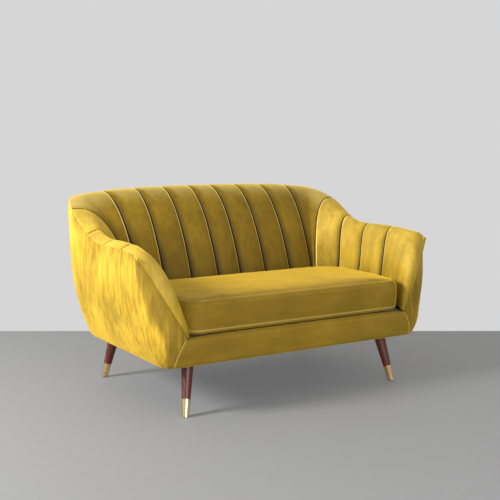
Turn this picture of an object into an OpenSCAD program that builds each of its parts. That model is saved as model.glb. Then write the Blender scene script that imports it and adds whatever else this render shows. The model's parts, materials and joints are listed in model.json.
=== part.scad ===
// Two-seat sofa with a channelled wrap-round back, a loose bench cushion and four splayed legs.
// Units are millimetres. +Z is up, the front faces -Y, and the origin is on the floor under the
// middle of the sofa. Left and right are as seen from in front: "left" is -X.

/* [Overall size] */
// Half width at the fullest point of the arms
half_width = 686; // [600:1:800]
// Half width of the body along its bottom edge
base_half = 600; // [520:1:700]
// Front plane of the body, measured from the middle
front_y = -455; // [-520:1:-400]
// Rear plane of the body at its bottom edge
rear_y = 305; // [250:1:380]
// Rear edge of the back rim
rim_rear_y = 462; // [400:1:520]
// Bottom of the body above the floor
body_bottom = 198; // [150:1:260]

/* [Arms and back] */
// Height of the arm rim
arm_height = 628; // [560:1:700]
// Height of the back rim
back_height = 806; // [740:1:900]
// Height where the padding starts behind the cushion
pad_bottom = 330; // [315:1:360]
// How far each padded channel swells out
channel_swell = 12; // [4:1:20]
// Thickness of the channel padding
pad_thick = 24; // [14:1:28]
// How full the soft roll along the top of each arm is
arm_roll = 29; // [0:1:32]
// How full the nose of each arm is
nose_roll = 28; // [0:1:30]
// Thickness of the outside upholstery
panel_thick = 5; // [3:1:6]

/* [Seat cushion] */
// Half width of the bench cushion
cushion_half = 547; // [500:1:552]
// Bottom of the cushion
cushion_bottom = 316; // [314:1:330]
// Height of the cushion's top seam
cushion_seam = 444; // [400:1:460]
// Crown of the cushion above its seam
cushion_crown = 24; // [10:1:34]

/* [Legs] */
// Distance of the front feet from the middle
foot_x_front = 500; // [440:1:540]
// Distance of the rear feet from the middle
foot_x_rear = 528; // [440:1:560]
// How far the feet splay sideways
splay_x = 35; // [0:1:50]
// How far the feet splay to the front and to the rear
splay_y = 47; // [0:1:60]
// Radius of a foot at the floor
foot_r = 13; // [10:0.5:18]
// Radius of a leg where it meets the body
leg_r = 24.5; // [20:0.5:30]
// Length of the brass ferrule
ferrule_h = 68; // [40:1:90]

/* [Frame] */
// Thickness of the frame boards
board = 22; // [18:1:25]
// Top of the base rails
rail_top = 300; // [280:1:302]

/* [Hidden] */
$fn = 48;
rail_bottom = body_bottom + 7;
seam_z = body_bottom + 115;
front_foot_y = -400;
rear_foot_y = rear_y;
leg_top = body_bottom + 4;
deck_z = rail_top + 4;
gap = 0.004;
grid_q = 8;
grid_t = 12;

// ---------------------------------------------------------------- small helpers
function ease(x) = let (c = min(max(x, 0), 1)) c * c * (3 - 2 * c);
function mix(a, b, w) = a * (1 - w) + b * w;
function unit(v) = v / max(norm(v), 1e-9);
function side_of(q) = q < 0 ? -1 : 1;

// A smooth curve through a list of stations. Each station is [position, value].
function slope(st, i) =
  let (a = max(i - 1, 0), b = min(i + 1, len(st) - 1))
  (st[b][1] - st[a][1]) / (st[b][0] - st[a][0]);
function find_station(st, q, i = 0) =
  (i >= len(st) - 2 || q < st[i + 1][0]) ? i : find_station(st, q, i + 1);
function through(st, q) =
  let (
    i = find_station(st, q),
    h = st[i + 1][0] - st[i][0],
    t = (q - st[i][0]) / h,
    a = 2 * t * t * t - 3 * t * t + 1,
    b = t * t * t - 2 * t * t + t,
    c = t * t * t - t * t
  )
  a * st[i][1] + b * h * slope(st, i) + (1 - a) * st[i + 1][1] + c * h * slope(st, i + 1);

// ---------------------------------------------------------------- the wrap-round line
// Seams are counted from the middle of the back: 0.5, 1.5, 2.5, 3.5 are the back seams, 4.5 is
// the valley between back and arm, 5.5, 6.5, 7.5 are the arm seams, 8.5 is the arm's front seam.
pitch = 132;
back_seam = [pitch / 2 - 8, 1.5 * pitch - 8, 2.5 * pitch - 8, cushion_half - 109];
arm_x = cushion_half + 17;
arm_seam_y = [98, -65, -232];

// Where the padding starts, behind and beside the cushion.
foot_line = [
  [-1.5, [-back_seam[1], 100]],
  [-0.5, [-back_seam[0], 100]],
  [0.5, [back_seam[0], 100]],
  [1.5, [back_seam[1], 100]],
  [2.5, [back_seam[2], 98]],
  [3.5, [back_seam[3], 95]],
  [4.0, [back_seam[3] + 7, 94]],
  [4.5, [back_seam[3] + 14, 92]],
  [5.5, [arm_x - 8, 64]],
  [6.5, [arm_x, -75]],
  [7.5, [arm_x - 5, -235]],
  [8.0, [arm_x - 26, -375]],
  [8.25, [arm_x - 53, -442]],
  [8.5, [arm_x - 47, front_y + 1]]
];

// Where the padding ends, at the outer rim of the back and arms.
rim_line = [
  [-1.5, [-back_seam[1], rim_rear_y]],
  [-0.5, [-back_seam[0], rim_rear_y]],
  [0.5, [back_seam[0], rim_rear_y]],
  [1.5, [back_seam[1], rim_rear_y]],
  [2.5, [back_seam[2] + 4, rim_rear_y - 2]],
  [3.5, [half_width - 206, rim_rear_y - 10]],
  [4.0, [half_width - 64, rim_rear_y - 56]],
  [4.5, [half_width - 13, 270]],
  [5.5, [half_width - 12, arm_seam_y[0]]],
  [6.5, [half_width - 11, arm_seam_y[1]]],
  [7.5, [half_width - 9, arm_seam_y[2]]],
  [8.0, [half_width - 5, -345]],
  [8.25, [half_width - 3, -374]],
  [8.5, [half_width - 2, -396]]
];

// The same stops along the bottom edge of the body.
base_line = [
  [-1.5, [-back_seam[1], rear_y]],
  [-0.5, [-back_seam[0], rear_y]],
  [2.5, [back_seam[2], rear_y]],
  [3.5, [base_half - 130, rear_y]],
  [4.0, [base_half - 20, rear_y - 19]],
  [4.5, [base_half, rear_y - 69]]
];

// Height of the rim: level along the arm, sweeping up to the back, with a slight arch across it.
function rim_height(p) =
  arm_height + (back_height - arm_height) * ease((p[1] + 20) / 470)
  - 45e-6 * p[0] * p[0] * ease((p[1] - 200) / 260);
function rim(q) =
  let (r = through(rim_line, abs(q)))
  [r[0] * side_of(q), r[1], rim_height(r) - 21 * ease((abs(q) - 8) / 0.5)];
function foot(q) =
  let (b = through(foot_line, abs(q)))
  [b[0] * side_of(q), b[1], pad_bottom - (pad_bottom - seam_z) * ease((abs(q) - 7.8) / 0.7)];

// The arms' soft top stands inside and above the rim, and their noses are full.
function roll(q, t) =
  let (
    w = abs(q),
    along = ease((w - 3.9) / 1.1) * (1 - ease(w - 7.5)),
    at_nose = ease((w - 7.7) / 0.45) * (1 - ease((w - 8.2) / 0.3)),
    top = arm_roll * along * 9.48 * t * t * t * (1 - t),
    nose = nose_roll * at_nose * pow(max(sin(180 * pow(t, 1.3)), 0), 0.8)
  )
  [-side_of(q) * (0.95 * top + 0.7 * nose), -0.4 * nose, 0.5 * top + 0.35 * nose];

// The padding's base surface: a Bezier from the foot line, up the inside and over to the rim.
function padding(q, t) =
  let (
    p0 = foot(q),
    p3 = rim(q),
    d = p3 - p0,
    s = side_of(q),
    arm = ease((abs(q) - 3.5) / 2),
    nose = ease((abs(q) - 7.6) / 0.9),
    tuck = exp(-pow((abs(q) - 4.5) / 0.7, 2)),
    f1 = mix(mix(0.14, 0.20, arm), 0.30, nose),
    g1 = mix(mix(0.50, 0.37, arm), 0.30, nose),
    f2 = mix(0.55, 0.70, nose),
    g2 = mix(mix(1.14, 1.13, arm), 0.72, nose),
    p1 = p0 + [f1 * d[0] - 23 * s * tuck, f1 * d[1] - 18 * nose, g1 * d[2] - 21 * tuck],
    p2 = p0 + [f2 * d[0] - 23 * s * tuck, f2 * d[1] + 44 * tuck - 14 * nose, g2 * d[2] - 61 * tuck],
    u = 1 - t
  )
  u * u * u * p0 + 3 * u * u * t * p1 + 3 * u * t * t * p2 + t * t * t * p3 + roll(q, t);
function padding_normal(q, t) =
  let (
    e = 0.002,
    dq = padding(q + e, t) - padding(q - e, t),
    dt = padding(q, min(t + e, 1)) - padding(q, max(t - e, 0))
  )
  unit(cross(dq, dt));

// Swell of one channel: nothing at its seams, full in the middle, fading at both ends and where
// the channel runs narrow.
function swell(q, t) =
  let (
    k = min(round(abs(q)), 8),
    v = min(abs(abs(q) - k) * 2, 1),
    width = norm(padding(k + 0.5, t) - padding(k - 0.5, t))
  )
  channel_swell * (1 - pow(v, 2.2)) * pow(min((1 - t) / 0.12, 1), 0.6)
  * min(0.35 + t / 0.15, 1) * min(width / 90, 1);
function depth(t) = pad_thick * (1 - 0.75 * ease((t - 0.55) / 0.4));

// ---------------------------------------------------------------- the outside
function side_x(z) =
  let (h = min(max((z - body_bottom) / (arm_height - body_bottom), 0), 1))
  base_half + (half_width - base_half) * (1 - pow(1 - h, 2.8));
function front_face(z) =
  let (h = min(max((z - body_bottom) / 102, 0), 1))
  front_y + 20 - 20 * (1 - pow(1 - h, 2));
function corner_r(z) = 50 + 60 * ease((z - body_bottom) / 180);
function seam_x(z) =
  let (
    up = min(max((z - seam_z) / 294, 0), 1),
    down = min(max((seam_z - z) / 115, 0), 1)
  )
  arm_x - 47 + (z >= seam_z ? 167 * up + 4 * sin(180 * up) : 46 * (1 - pow(1 - down, 2)));

// Round the front corner from the side plane (f = 0) to the front seam (f = 1), held back by "keep".
function corner(z, f, inset, keep) =
  let (
    r = corner_r(z),
    cx = side_x(z) - r,
    cy = front_face(z) + r,
    over = seam_x(z) - cx,
    ang = over > 0 ? acos(min(over / r, 1)) : 90,
    run = (r * ang * PI / 180 + max(-over, 0) - keep) * f,
    a = min(run / r * 180 / PI, 90),
    extra = max(run - r * PI / 2, 0)
  )
  [cx + (r - inset) * cos(a) - extra, cy - (r - inset) * sin(a)];

// The side panel: a runs from the rear seam (0) by the front corner (0.6) to the front seam (1).
function side_point(a, h, inset) =
  let (
    f = min(max((a - 0.6) / 0.4, 0), 1),
    g = min(a / 0.6, 1),
    y_top = mix(269, -345, g),
    top = mix(rim_height([half_width - 11, y_top]) - 15, seam_z + 284, pow(f, 1.5)),
    z = body_bottom + (top - body_bottom) * h,
    y0 = mix(rear_y - 70, 269, h),
    cy = front_face(z) + corner_r(z),
    c = corner(z, f, inset, 30),
    curl = 11 * pow(min(max((h - 0.9) / 0.1, 0), 1), 2) * (1 - f)
  )
  a <= 0.6 ? [side_x(z) - curl - inset, mix(y0, cy, g), z] : [c[0] - curl, c[1], z];

// The back panel, wrapping both rear corners.
function back_point(q, h, inset) =
  let (
    o = through(base_line, abs(q)),
    r = through(rim_line, abs(q)),
    top = rim_height(r) - 12,
    w = ease((abs(q) - 3.3) / 1.2),
    z = body_bottom + (top - body_bottom) * h,
    lift = min((z - body_bottom) / (arm_height - body_bottom), 1),
    kx = 1 - pow(1 - lift, 2.8),
    x = o[0] + (r[0] - o[0]) * kx + 8 * w * kx * (1 - pow(min(max((h - 0.9) / 0.1, 0), 1), 2)),
    y = o[1] + (r[1] - o[1]) * (1 - pow(1 - h, 1.35)),
    turn = mix(90, 8, ease((abs(q) - 2.9) / 1.6))
  )
  [side_of(q) * (x - inset * cos(turn)), y - inset * sin(turn), z];

// ---------------------------------------------------------------- a solid between two grids
// "outer" and "inner" are lists of rows of points; the solid fills the space between them.
module slab(outer, inner) {
  n = len(outer);
  m = len(outer[0]);
  size = n * m;
  points = concat([for (row = outer) each row], [for (row = inner) each row]);
  function id(i, j) = i * m + j;
  skin = [
    for (i = [0:n - 2], j = [0:m - 2])
      each [
        [id(i, j), id(i, j + 1), id(i + 1, j + 1)],
        [id(i, j), id(i + 1, j + 1), id(i + 1, j)]
      ]
  ];
  back = [for (f = skin) [f[0] + size, f[2] + size, f[1] + size]];
  edge = concat(
    [for (j = [0:m - 2]) [id(0, j), id(0, j + 1)]],
    [for (i = [0:n - 2]) [id(i, m - 1), id(i + 1, m - 1)]],
    [for (j = [m - 1:-1:1]) [id(n - 1, j), id(n - 1, j - 1)]],
    [for (i = [n - 1:-1:1]) [id(i, 0), id(i - 1, 0)]]
  );
  wall = [
    for (e = edge)
      each [
        [e[1], e[0], e[0] + size],
        [e[1], e[0] + size, e[1] + size]
      ]
  ];
  polyhedron(points, concat(skin, back, wall));
}
module channel(q0, q1) {
  qs = [for (i = [0:grid_q]) mix(q0 + gap, q1 - gap, i / grid_q)];
  ts = [for (j = [0:grid_t]) 0.002 + 0.996 * j / grid_t];
  outer = [for (q = qs) [for (t = ts) padding(q, t) + swell(q, t) * padding_normal(q, t)]];
  inner = [for (q = qs) [for (t = ts) padding(q, t) - depth(t) * padding_normal(q, t)]];
  slab(inner, outer);
}
module side_panel() {
  as = [0, 0.15, 0.3, 0.45, 0.6, 0.66, 0.72, 0.78, 0.84, 0.9, 0.95, 1];
  hs = [for (j = [0:12]) j / 12];
  outer = [for (a = as) [for (h = hs) side_point(a, h, 0)]];
  inner = [for (a = as) [for (h = hs) side_point(a, h, panel_thick)]];
  slab(inner, outer);
}
module both_sides() {
  children();
  mirror([1, 0, 0]) children();
}

// ---------------------------------------------------------------- padded back and arms
module back_channel(k) color("goldenrod") channel(k - 0.5, k + 0.5);
module right_arm_channel(k) color("goldenrod") channel(k + 3.5, k + 4.5);
module left_arm_channel(k) mirror([1, 0, 0]) right_arm_channel(k);
module outer_side_right() color("goldenrod") side_panel();
module outer_side_left() mirror([1, 0, 0]) outer_side_right();
module outer_back() {
  qs = [-4.49, -4.37, -4.25, -4.12, -4, -3.87, -3.75, -3.5, -2.5, -1.25, 0,
        1.25, 2.5, 3.5, 3.75, 3.87, 4, 4.12, 4.25, 4.37, 4.49];
  hs = [for (j = [0:12]) j / 12];
  color("goldenrod")
    slab([for (q = qs) [for (h = hs) back_point(q, h, 0)]],
         [for (q = qs) [for (h = hs) back_point(q, h, panel_thick)]]);
}
module front_rail_cover() {
  fs = [for (i = [0:8]) -1 + i / 4];
  zs = [for (j = [0:6]) mix(body_bottom, seam_z - 1, j / 6)];
  color("goldenrod")
    slab([for (f = fs) [for (z = zs) [f * (seam_x(z) - 7), front_face(z), z]]],
         [for (f = fs) [for (z = zs) [f * (seam_x(z) - 7), front_face(z) + 12, z]]]);
}
module dust_cover() {
  color("black")
    difference() {
      translate([0, 0, body_bottom + 1])
        linear_extrude(1.5) {
          translate([-590, -375]) square([1180, 605]);
          translate([-550, -418]) square([1100, 708]);
        }
      for (p = plate_centres)
        translate([p[0] - 49, p[1] - 38, body_bottom]) cube([98, 85, 4]);
    }
}

// ---------------------------------------------------------------- wooden frame
module front_rail() {
  color("burlywood")
    translate([-565, -422, rail_bottom]) cube([1130, 25, rail_top - rail_bottom]);
}
module back_rail() {
  color("burlywood")
    translate([-556, 268, rail_bottom]) cube([1112, board, rail_top - rail_bottom]);
}
module right_side_rail() {
  color("burlywood")
    translate([570, -370, rail_bottom]) cube([board, 594, rail_top + 2 - rail_bottom]);
}
module left_side_rail() mirror([1, 0, 0]) right_side_rail();
module centre_stretcher() {
  color("burlywood") translate([-20, -397, rail_bottom + 10]) cube([40, 665, 45]);
}
module post_profile() {
  polygon([
    [570, rail_bottom], [594, rail_bottom], [617, 262], [640, 330], [658, 440], [664, 500],
    [642, 500], [622, 455], [602, 400], [588, 330], [570, rail_top]
  ]);
}
module arm_post(y) {
  color("burlywood") translate([0, y + board, 0]) rotate([90, 0, 0]) linear_extrude(board) post_profile();
}
module right_front_post() arm_post(-392);
module right_rear_post() arm_post(224);
module left_front_post() mirror([1, 0, 0]) right_front_post();
module left_rear_post() mirror([1, 0, 0]) right_rear_post();
module right_arm_rail() {
  color("burlywood") translate([642, -370, 478]) cube([board, 594, 20]);
}
module left_arm_rail() mirror([1, 0, 0]) right_arm_rail();
module back_posts() {
  color("burlywood")
    for (x = [-430, -150, 150, 430])
      translate([x - board / 2, 0, 0])
        rotate([90, 0, 90])
          linear_extrude(board)
            polygon([
              [268, rail_top], [290, rail_top], [360, 455], [400, 593], [425, 688], [436, 740],
              [385, 740], [365, 688], [330, 593], [290, 455]
            ]);
}
module back_top_rail() {
  color("burlywood") translate([-450, 385, 740]) cube([900, 50, 22]);
}
module lumbar_rail() {
  color("burlywood") translate([-450, 252, 420]) cube([900, 22, 40]);
}
front_leg = [foot_x_front - splay_x, front_foot_y + splay_y];
rear_leg = [foot_x_rear - splay_x, rear_foot_y - splay_y];
leg_tops = [
  [front_leg[0], front_leg[1]], [-front_leg[0], front_leg[1]],
  [rear_leg[0], rear_leg[1]], [-rear_leg[0], rear_leg[1]]
];
plate_centres = [
  leg_tops[0], leg_tops[1], leg_tops[2] - [0, 19], leg_tops[3] - [0, 19]
];
module corner_blocks() {
  color("tan")
    difference() {
      both_sides() {
        translate([418, -397, rail_bottom]) cube([147, 96, 80]);
        translate([440, 190, rail_bottom]) cube([130, 78, 80]);
      }
      screw_holes();
      for (i = [0:3]) bolt(i, 4.3);
    }
}

// ---------------------------------------------------------------- seat support
module seat_webbing() {
  color("saddlebrown")
    for (x = [-350, -220, -70, 70, 220, 350])
      translate([x - 30, -415, rail_top]) cube([60, 700, 1.8]);
}
module seat_webbing_cross() {
  color("saddlebrown")
    for (y = [-290, -170, -50, 70])
      translate([-588, y - 30, rail_top + 2]) cube([1176, 60, 1.8]);
}
module seat_deck() {
  color("dimgray")
    translate([0, 0, deck_z])
      linear_extrude(8) {
        translate([-535, -425]) square([1070, 554]);
        translate([-508, -441]) square([1016, 20]);
      }
}

// ---------------------------------------------------------------- legs
function foot_of(i) =
  i < 2 ? [(i == 0 ? 1 : -1) * foot_x_front, front_foot_y] : [(i == 2 ? 1 : -1) * foot_x_rear, rear_foot_y];
module along_leg(i) {
  f = foot_of(i);
  t = leg_tops[i];
  v = [t[0] - f[0], t[1] - f[1], leg_top];
  translate([f[0], f[1], 0])
    rotate([0, acos(v[2] / norm(v)), atan2(v[1], v[0])]) rotate([0, 0, 37]) children();
}
leg_len = norm([splay_x, splay_y, leg_top]);
taper = (leg_r - foot_r) / leg_len;
module cone(z0, z1, less) {
  translate([0, 0, z0])
    cylinder(h = z1 - z0, r1 = foot_r + taper * z0 - less, r2 = foot_r + taper * z1 - less);
}
module bolt(i, r) {
  along_leg(i) translate([0, 0, leg_len - 42]) cylinder(h = 76, r = r);
}
module wooden_leg(i) {
  color("sienna")
    difference() {
      intersection() {
        along_leg(i) {
          cone(ferrule_h, leg_len + 20, 0);
          cone(8, ferrule_h + 1, 1.5);
        }
        translate([-700, -700, 4]) cube([1400, 1400, leg_top - 4]);
      }
      bolt(i, 4.2);
    }
}
module brass_ferrule(i) {
  color("gold")
    intersection() {
      along_leg(i)
        difference() {
          cone(-10, ferrule_h - 0.1, 0);
          translate([0, 0, 7.9]) cone(0, ferrule_h, 1.3 - taper * 8);
        }
      translate([-700, -700, 3]) cube([1400, 1400, 200]);
    }
}
module floor_glide(i) {
  f = foot_of(i);
  color("black") translate([f[0], f[1], 0]) cylinder(h = 3, r = foot_r - 2);
}
module screw_places() {
  for (p = plate_centres, dx = [-34, 34], dy = [-20, 20])
    translate([p[0] + dx, p[1] + dy, 0]) children();
}
module screw_holes() {
  screw_places() translate([0, 0, rail_bottom - 4]) cylinder(h = 24, r = 2.2);
}
module leg_plates() {
  color("silver")
    difference() {
      for (p = plate_centres)
        translate([p[0] - 44, p[1] - 33, leg_top]) cube([88, 66, 3]);
      screw_holes();
      for (i = [0:3]) bolt(i, 5.5);
    }
}
module plate_screws() {
  color("silver")
    screw_places() {
      translate([0, 0, leg_top - 1.8]) cylinder(h = 1.8, r = 4);
      translate([0, 0, leg_top - 1]) cylinder(h = 20, r = 2);
    }
}
module hanger_bolts() {
  color("silver") for (i = [0:3]) bolt(i, 4);
}

// ---------------------------------------------------------------- bench cushion
cushion_front = front_y - 3;
cushion_back = 73;
zip_z = 378;
// Points along the rounded corner at "b" between the straight sides a-b and b-c.
function fillet(a, b, c, r, n = 8) =
  let (
    u = unit(a - b),
    v = unit(c - b),
    half = acos(u * v) / 2,
    middle = b + unit(u + v) * r / sin(half),
    from = b + u * r / tan(half) - middle,
    turn = sign(cross(u, v)) * -(180 - 2 * half)
  )
  [
    for (i = [0:n])
      let (w = turn * i / n)
      middle + [from[0] * cos(w) - from[1] * sin(w), from[0] * sin(w) + from[1] * cos(w)]
  ];
// The cushion's plan follows the arms: narrow in front, full width behind, round at the rear.
function outline(inset) =
  let (
    front = [cushion_half - 50 - inset, cushion_front + inset],
    shoulder = [cushion_half - inset, cushion_front + 168],
    rear = [cushion_half - inset, cushion_back - inset],
    right = concat(
      fillet([0, front[1]], front, shoulder, 50 - inset / 2),
      fillet(front, shoulder, rear, 150),
      fillet(shoulder, rear, [0, rear[1]], 140 - inset)
    )
  )
  concat(right, [for (i = [len(right) - 1:-1:0]) [-right[i][0], right[i][1]]]);
module rounded(inset) polygon(outline(inset));
mid_y = (cushion_front + cushion_back) / 2;
// A crowned disc over the cushion's plan: rings of the outline drawn in towards the middle.
module dome(z0, rise, base, inset) {
  line = outline(inset);
  n = len(line);
  rings = [for (i = [0:6]) pow(1 - i / 7, 0.8)];
  top = [
    for (s = rings, p = line)
      [p[0] * s, mid_y + (p[1] - mid_y) * s, z0 + rise * (1 - pow(s, 3))]
  ];
  low = [for (p = line) [p[0], p[1], z0 - base]];
  pts = concat(top, [[0, mid_y, z0 + rise]], low);
  m = len(rings);
  polyhedron(pts, concat(
    [for (r = [0:m - 2], i = [0:n - 1]) let (j = (i + 1) % n)
      each [[r * n + i, (r + 1) * n + i, (r + 1) * n + j], [r * n + i, (r + 1) * n + j, r * n + j]]],
    [for (i = [0:n - 1]) [(m - 1) * n + i, m * n, (m - 1) * n + (i + 1) % n]],
    [for (i = [0:n - 1]) let (j = (i + 1) % n)
      each [[i, j, m * n + 1 + j], [i, m * n + 1 + j, m * n + 1 + i]]],
    [[for (i = [0:n - 1]) m * n + 1 + i]]
  ));
}
module cushion_foam() {
  color("ivory")
    translate([0, 0, cushion_bottom + 3])
      linear_extrude(cushion_seam - cushion_bottom - 9)
        rounded(12);
}
module cushion_fibre() {
  color("white") dome(cushion_seam - 3, cushion_crown - 1, 2.5, 16);
}
module cushion_top_cover() {
  color("goldenrod")
    difference() {
      dome(cushion_seam, cushion_crown, 1.5, 0);
      dome(cushion_seam - 2.5, cushion_crown - 0.5, 4, 12);
    }
}
module cushion_boxing() {
  color("goldenrod")
    difference() {
      translate([0, 0, cushion_bottom + 2.2])
        linear_extrude(cushion_seam - cushion_bottom - 4.2)
          difference() {
            rounded(0);
            rounded(11);
          }
      translate([-300, cushion_back - 7, zip_z - 9]) cube([600, 10, 18]);
    }
}
module cushion_bottom_cover() {
  color("goldenrod") translate([0, 0, cushion_bottom]) linear_extrude(2) rounded(0);
}
module cushion_zip() {
  color("darkgoldenrod")
    difference() {
      translate([-299.5, cushion_back - 6.8, zip_z - 8.8]) cube([599, 1.6, 17.6]);
      translate([-310, cushion_back - 6, zip_z - 0.4]) cube([620, 3, 0.8]);
    }
}
module zip_slider() {
  color("silver") {
    translate([-290, cushion_back - 4.7, zip_z - 4]) cube([10, 3, 8]);
    translate([-283, cushion_back - 4, zip_z - 2]) cube([22, 1.6, 4]);
  }
}

// ---------------------------------------------------------------- assembly

front_rail_cover();
outer_side_left();
outer_side_right();
outer_back();
dust_cover();
back_channel(-4);  // back_channel_1
back_channel(-3);  // back_channel_2
back_channel(-2);  // back_channel_3
back_channel(-1);  // back_channel_4
back_channel(0);  // back_channel_5
back_channel(1);  // back_channel_6
back_channel(2);  // back_channel_7
back_channel(3);  // back_channel_8
back_channel(4);  // back_channel_9
left_arm_channel(1);  // left_arm_channel_1
left_arm_channel(2);  // left_arm_channel_2
left_arm_channel(3);  // left_arm_channel_3
left_arm_channel(4);  // left_arm_channel_4
right_arm_channel(1);  // right_arm_channel_1
right_arm_channel(2);  // right_arm_channel_2
right_arm_channel(3);  // right_arm_channel_3
right_arm_channel(4);  // right_arm_channel_4
front_rail();
back_rail();
left_side_rail();
right_side_rail();
centre_stretcher();
left_front_post();
right_front_post();
left_rear_post();
right_rear_post();
left_arm_rail();
right_arm_rail();
back_posts();
back_top_rail();
lumbar_rail();
corner_blocks();
seat_webbing();
seat_webbing_cross();
seat_deck();
leg_plates();
plate_screws();
hanger_bolts();
wooden_leg(0);  // front_right_leg
wooden_leg(1);  // front_left_leg
wooden_leg(2);  // rear_right_leg
wooden_leg(3);  // rear_left_leg
for (i = [0:3]) brass_ferrule(i);  // ferrules
for (i = [0:3]) floor_glide(i);  // floor_glides
cushion_foam();
cushion_fibre();
cushion_top_cover();
cushion_boxing();
cushion_bottom_cover();
cushion_zip();
zip_slider();
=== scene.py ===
import json
import math

import bmesh
import bpy
import numpy as np
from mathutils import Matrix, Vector, noise


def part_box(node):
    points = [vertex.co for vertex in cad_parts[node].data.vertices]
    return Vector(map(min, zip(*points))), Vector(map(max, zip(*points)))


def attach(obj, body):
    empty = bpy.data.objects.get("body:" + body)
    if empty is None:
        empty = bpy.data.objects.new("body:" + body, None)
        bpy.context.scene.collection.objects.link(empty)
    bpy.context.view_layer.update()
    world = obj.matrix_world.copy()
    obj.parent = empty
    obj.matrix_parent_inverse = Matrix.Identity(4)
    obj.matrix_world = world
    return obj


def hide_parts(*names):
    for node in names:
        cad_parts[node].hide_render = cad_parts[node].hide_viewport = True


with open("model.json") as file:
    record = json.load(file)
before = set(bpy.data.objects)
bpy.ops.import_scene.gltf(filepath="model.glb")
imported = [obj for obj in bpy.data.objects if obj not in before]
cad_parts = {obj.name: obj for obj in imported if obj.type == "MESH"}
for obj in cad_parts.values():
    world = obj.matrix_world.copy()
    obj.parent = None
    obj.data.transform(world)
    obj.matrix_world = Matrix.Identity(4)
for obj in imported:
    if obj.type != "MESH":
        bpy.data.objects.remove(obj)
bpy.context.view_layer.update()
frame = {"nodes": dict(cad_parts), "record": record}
nodes = frame["nodes"]

# %% [markdown]
# The camera stands a little left of the front and looks slightly down on the seat. A normal
# lens from four metres keeps the arms and the back in the proportions that the eye expects.
# %% Camera
CAMERA_AT = (-2.086, -3.420, 1.061)
CAMERA_AZIMUTH = -31.775
CAMERA_DOWN = 7.178


def in_scene(name, data):
    """A new object with that data, linked into the scene."""
    thing = bpy.data.objects.new(name, data)
    bpy.context.scene.collection.objects.link(thing)
    return thing


camera = in_scene("camera", bpy.data.cameras.new("camera"))
camera.location = CAMERA_AT
camera.rotation_euler = (math.radians(90 - CAMERA_DOWN), 0, math.radians(CAMERA_AZIMUTH))
camera.data.lens = 67.29
camera.data.sensor_width = 36
bpy.context.scene.camera = camera
print("lens", camera.data.lens, "mm")

# %% [markdown]
# Materials are node trees. A tree gets long when every node takes four lines, so one helper adds
# a node, sets its properties, and fills or links its inputs. Colours are written as the hex
# values that a paint chart shows, and one function turns them into the linear light that
# the renderer adds up.
# %% Node helper and colours
def linear(hex_colour, alpha=1.0):
    """An sRGB hex colour as linear red, green, blue and alpha."""
    parts = [int(hex_colour[i : i + 2], 16) / 255 for i in (1, 3, 5)]
    return [c / 12.92 if c <= 0.04045 else ((c + 0.055) / 1.055) ** 2.4 for c in parts] + [alpha]


def add_node(tree, kind, inputs=None, **settings):
    """A new node with its settings; an input is a value, or an output socket to link."""
    node = tree.nodes.new(kind)
    for name, value in settings.items():
        setattr(node, name, value)
    for key, value in (inputs or {}).items():
        if isinstance(value, bpy.types.NodeSocket):
            tree.links.new(value, node.inputs[key])
        else:
            node.inputs[key].default_value = value
    return node


def new_tree(name):
    """An empty material with its surface shader and output."""
    material = bpy.data.materials.new(name)
    material.use_nodes = True
    tree = material.node_tree
    tree.nodes.clear()
    shader = tree.nodes.new("ShaderNodeBsdfPrincipled")
    out = tree.nodes.new("ShaderNodeOutputMaterial")
    tree.links.new(shader.outputs[0], out.inputs[0])
    return material, tree, shader


def worked(tree, operation, *numbers, clamp=False):
    """The result of one sum; the numbers are sockets or plain values."""
    inputs = dict(enumerate(numbers))
    node = add_node(tree, "ShaderNodeMath", inputs, operation=operation, use_clamp=clamp)
    return node.outputs[0]


def set_surface(shader, **constants):
    """Sets what is the same all over the surface; an underscore stands for a space."""
    for name, value in constants.items():
        shader.inputs[name.replace("_", " ")].default_value = value


def ramp(tree, factor, low, high, colour_low, colour_high):
    """A smooth change from one colour to the other as factor goes from low to high."""
    node = add_node(tree, "ShaderNodeValToRGB", {"Fac": factor})
    first, last = node.color_ramp.elements
    first.position, last.position = low, high
    first.color, last.color = linear(colour_low), linear(colour_high)
    return node.outputs[0]


def mixed(tree, factor, a, b, blend="MIX"):
    """Two colours mixed; a and b are sockets or hex colours."""
    pick = [linear(c) if isinstance(c, str) else c for c in (a, b)]
    inputs = {0: factor, 6: pick[0], 7: pick[1]}
    return add_node(tree, "ShaderNodeMix", inputs, data_type="RGBA", blend_type=blend).outputs[2]


def patterned(tree, kind, per_metre, stretch=(1, 1, 1), turn=(0, 0, 0), **inputs):
    """A texture in object space, where 1 is a metre, repeated per_metre times, with each axis stretched."""
    where = add_node(tree, "ShaderNodeTexCoord").outputs["Object"]
    place = add_node(tree, "ShaderNodeMapping", {"Vector": where, "Scale": stretch, "Rotation": turn})
    return add_node(tree, kind, {"Vector": place.outputs[0], "Scale": per_metre, **inputs})


def bumped(tree, shader, height, millimetres, strength=1.0):
    """Relief: height is 0 to 1, and its full range is that many millimetres."""
    relief = add_node(
        tree, "ShaderNodeBump", {"Height": height, "Distance": millimetres / 1000, "Strength": strength}
    )
    tree.links.new(relief.outputs[0], shader.inputs["Normal"])


print("gold velvet is", [round(c, 3) for c in linear("#B8912A")[:3]], "in linear light")

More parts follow.
